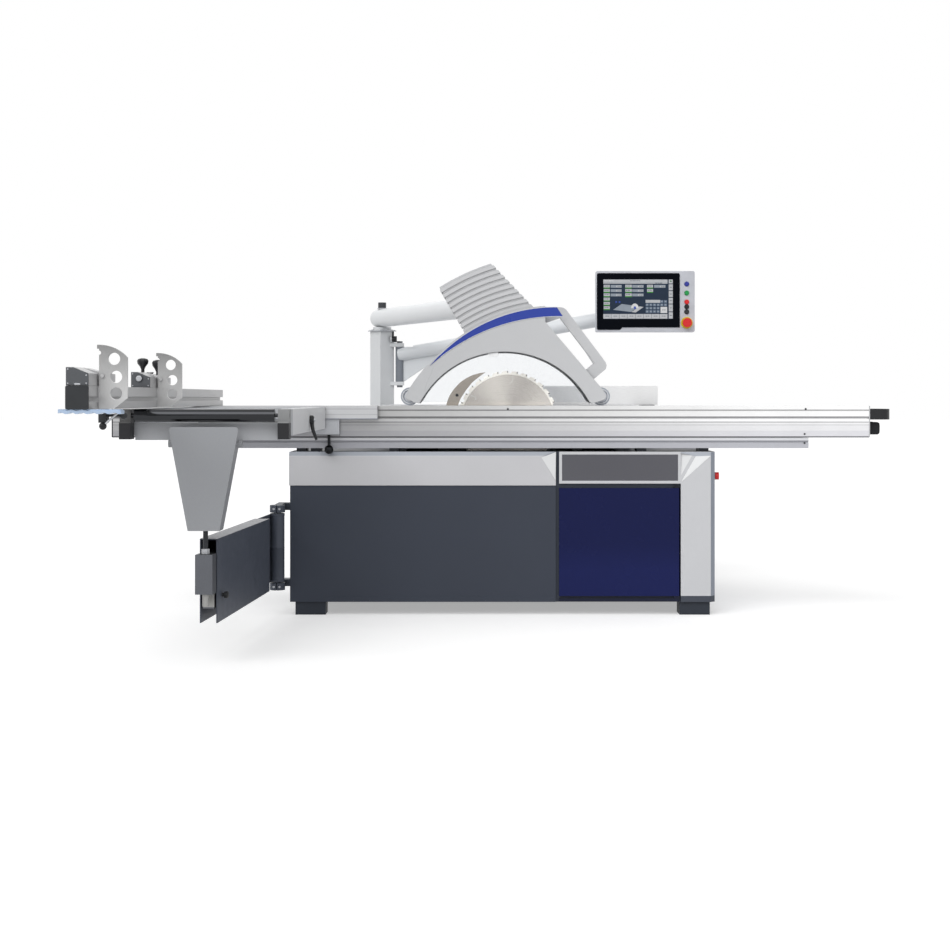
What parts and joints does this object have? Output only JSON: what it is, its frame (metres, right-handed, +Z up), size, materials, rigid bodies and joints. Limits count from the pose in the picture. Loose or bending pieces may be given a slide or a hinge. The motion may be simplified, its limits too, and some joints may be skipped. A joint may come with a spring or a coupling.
{
  "type": "sliding table saw",
  "caption": "Floor-standing sliding table saw with a tilting blade under an overhead hood, a cross-cut outrigger on a swing arm, a rip fence and a control panel on an arm.",
  "frame": {"origin": "on the floor, in the middle of the four bolted feet", "axes": "+X along the cut towards the operator's end, +Y from the sliding table to the rip side, +Z up"},
  "size_m": [3.302, 4.177, 1.553],
  "materials": {
    "light_paint": "light grey powder coat",
    "slate_paint": "dark slate powder coat",
    "navy_paint": "glossy navy lacquer",
    "dark_paint": "dark grey powder coat",
    "black_plastic": "moulded black plastic",
    "grey_plastic": "moulded light grey plastic",
    "anodised": "brushed clear-anodised profile",
    "cast_iron": "ground and painted casting",
    "blade_steel": "ground saw steel",
    "chrome": "polished chrome",
    "rubber": "black rubber",
    "tyre": "grey-blue tyre",
    "clear_plastic": "clear polycarbonate",
    "black_glass": "black screen glass",
    "blue_paint": "gloss blue",
    "red_plastic": "red moulded plastic",
    "green_plastic": "green moulded plastic",
    "lamp_plastic": "lamp and ring plastics"
  },
  "bodies": {
    "base": {"base_cabinet": "slate_paint", "feet": "rubber", "front_panel": "slate_paint", "left_cover": "light_paint", "right_cover": "light_paint", "front_trim": "dark_paint", "lower_rail": "anodised", "saw_frame": "dark_paint", "main_table": "cast_iron", "table_insert": "anodised", "extension_table": "light_paint", "guide_bar": "chrome", "arm_bracket": "slate_paint", "guard_column": "light_paint", "guard_boom": "light_paint"},
    "door": {"access_door": "navy_paint"},
    "side_button": {"side_stop": "red_plastic"},
    "sliding": {"sliding_table": "anodised", "table_ends": "dark_paint", "push_handle": "black_plastic"},
    "rollers": {"roller_carriage": "cast_iron"},
    "outrigger": {"outrigger_frame": "light_paint", "roller_brackets": "black_plastic", "support_leg": "light_paint", "leg_post": "dark_paint", "table_clamp": "cast_iron"},
    "front_roller": {"outrigger_roller": "chrome"},
    "lock_lever": {"clamp_lever": "black_plastic"},
    "fence": {"fence_profile": "anodised", "fence_fittings": "black_plastic"},
    "near_block": {"near_carriage": "anodised"},
    "near_flip_stop": {"near_stop": "anodised"},
    "far_block": {"far_carriage": "anodised"},
    "far_flip_stop": {"far_stop": "anodised"},
    "arm": {"swing_arm": "slate_paint"},
    "arm_runner": {"arm_slide": "cast_iron"},
    "tilting": {"tilt_frame": "cast_iron"},
    "scorer": {"scoring_blade": "blade_steel"},
    "rising": {"rise_slide": "cast_iron", "riving_knife": "blade_steel", "motor": "dark_paint"},
    "blade": {"saw_blade": "blade_steel", "arbor": "blade_steel"},
    "rotor": {"motor_pulley": "cast_iron"},
    "hood": {"guard_hood": "grey_plastic", "guard_band": "blue_paint", "guard_window": "clear_plastic", "extraction_neck": "grey_plastic"},
    "wheel_left": {"left_wheel": "tyre"},
    "wheel_right": {"right_wheel": "tyre"},
    "rip_block": {"rip_carriage": "dark_paint"},
    "rip_rail": {"rip_fence": "anodised"},
    "panel_boom": {"panel_arm": "light_paint"},
    "panel": {"panel_housing": "grey_plastic", "panel_glass": "black_glass", "panel_lamps": "lamp_plastic"},
    "green": {"green_button": "green_plastic"},
    "red": {"red_button": "red_plastic"},
    "turn_switch": {"selector": "black_plastic"},
    "stop": {"emergency_stop": "red_plastic"}
  },
  "joints": [
    {"name": "table_slide", "type": "slide", "parent": "base", "child": "sliding", "axis": [1, 0, 0], "range_m": [-1.45, 1.45]},
    {"name": "roller_slide", "type": "slide", "parent": "base", "child": "rollers", "axis": [1, 0, 0], "range_m": [-0.73, 0.73]},
    {"name": "outrigger_shift", "type": "slide", "parent": "sliding", "child": "outrigger", "axis": [1, 0, 0], "range_m": [-0.2, 0.4]},
    {"name": "roller_spin", "type": "hinge", "parent": "outrigger", "child": "front_roller", "pos_m": [-1.0325, -1.803, 0.859], "axis": [1, 0, 0], "continuous": true},
    {"name": "lock_turn", "type": "hinge", "parent": "outrigger", "child": "lock_lever", "pos_m": [-0.7445, -1.125, 0.835], "axis": [1, 0, 0], "range_deg": [-60, 60]},
    {"name": "fence_pivot", "type": "hinge", "parent": "outrigger", "child": "fence", "pos_m": [-1.2635, -0.456, 0.885], "axis": [0, 0, 1], "range_deg": [-45, 45]},
    {"name": "near_stop_slide", "type": "slide", "parent": "fence", "child": "near_block", "axis": [0, 1, 0], "range_m": [-0.1, 0.35]},
    {"name": "far_stop_slide", "type": "slide", "parent": "fence", "child": "far_block", "axis": [0, 1, 0], "range_m": [-0.35, 1.2]},
    {"name": "near_flip", "type": "hinge", "parent": "near_block", "child": "near_flip_stop", "pos_m": [-1.216, -2.529, 0.9835], "axis": [0, -1, 0], "range_deg": [0, 90]},
    {"name": "far_flip", "type": "hinge", "parent": "far_block", "child": "far_flip_stop", "pos_m": [-1.216, -1.629, 0.9835], "axis": [0, -1, 0], "range_deg": [0, 90]},
    {"name": "arm_swing", "type": "hinge", "parent": "base", "child": "arm", "pos_m": [-0.948, -0.465, 0.29], "axis": [0, 0, 1], "range_deg": [-48, 48]},
    {"name": "arm_extend", "type": "slide", "parent": "arm", "child": "arm_runner", "axis": [-0.0637, -0.998, 0], "range_m": [0, 0.6]},
    {"name": "saw_tilt", "type": "hinge", "parent": "base", "child": "tilting", "pos_m": [0.029, -0.055, 0.885], "axis": [-1, 0, 0], "range_deg": [0, 45]},
    {"name": "scorer_spin", "type": "hinge", "parent": "tilting", "child": "scorer", "pos_m": [0.33, -0.055, 0.82], "axis": [0, 1, 0], "continuous": true},
    {"name": "saw_rise", "type": "slide", "parent": "tilting", "child": "rising", "axis": [0, 0, 1], "range_m": [-0.155, 0]},
    {"name": "blade_spin", "type": "hinge", "parent": "rising", "child": "blade", "pos_m": [0.029, -0.055, 0.814], "axis": [0, 1, 0], "continuous": true},
    {"name": "motor_spin", "type": "hinge", "parent": "rising", "child": "rotor", "pos_m": [0.229, -0.024, 0.53], "axis": [0, 1, 0], "continuous": true},
    {"name": "hood_lift", "type": "slide", "parent": "base", "child": "hood", "axis": [0, 0, 1], "range_m": [0, 0.13]},
    {"name": "left_wheel_spin", "type": "hinge", "parent": "hood", "child": "wheel_left", "pos_m": [-0.40898, -0.02, 0.9255], "axis": [0, 1, 0], "continuous": true},
    {"name": "right_wheel_spin", "type": "hinge", "parent": "hood", "child": "wheel_right", "pos_m": [0.44497, -0.02, 0.9255], "axis": [0, 1, 0], "continuous": true},
    {"name": "rip_slide", "type": "slide", "parent": "base", "child": "rip_block", "axis": [0, 1, 0], "range_m": [-0.35, 0.7]},
    {"name": "rip_rail_slide", "type": "slide", "parent": "rip_block", "child": "rip_rail", "axis": [1, 0, 0], "range_m": [-0.3, 0.05]},
    {"name": "panel_swing", "type": "hinge", "parent": "base", "child": "panel_boom", "pos_m": [-0.52, 1.375, 1.1], "axis": [0, 0, 1], "range_deg": [-15, 60]},
    {"name": "panel_turn", "type": "hinge", "parent": "panel_boom", "child": "panel", "pos_m": [0.7, 0.945, 1.348], "axis": [0, 0, 1], "range_deg": [-15, 40]},
    {"name": "green_press", "type": "slide", "parent": "panel", "child": "green", "axis": [0, 1, 0], "range_m": [0, 0.004], "stiffness_N_per_m": 400},
    {"name": "red_press", "type": "slide", "parent": "panel", "child": "red", "axis": [0, 1, 0], "range_m": [0, 0.004], "stiffness_N_per_m": 400},
    {"name": "stop_press", "type": "slide", "parent": "panel", "child": "stop", "axis": [0, 1, 0], "range_m": [0, 0.004], "stiffness_N_per_m": 400},
    {"name": "selector_turn", "type": "hinge", "parent": "panel", "child": "turn_switch", "pos_m": [0.939, 0.838, 1.37397], "axis": [0, 1, 0], "range_deg": [-45, 45]},
    {"name": "door_open", "type": "hinge", "parent": "base", "child": "door", "pos_m": [0.735, -0.4195, 0.308], "axis": [0, 0, 1], "range_deg": [0, 110]},
    {"name": "side_stop_press", "type": "slide", "parent": "base", "child": "side_button", "axis": [-1, 0, 0], "range_m": [0, 0.004], "stiffness_N_per_m": 400}
  ],
  "couplings": [
    {"joint": "roller_slide", "follows": "table_slide", "ratio": 0.5},
    {"joint": "arm_swing", "follows": "table_slide", "rad_per_m": 0.55},
    {"joint": "motor_spin", "follows": "blade_spin", "ratio": 1}
  ]
}
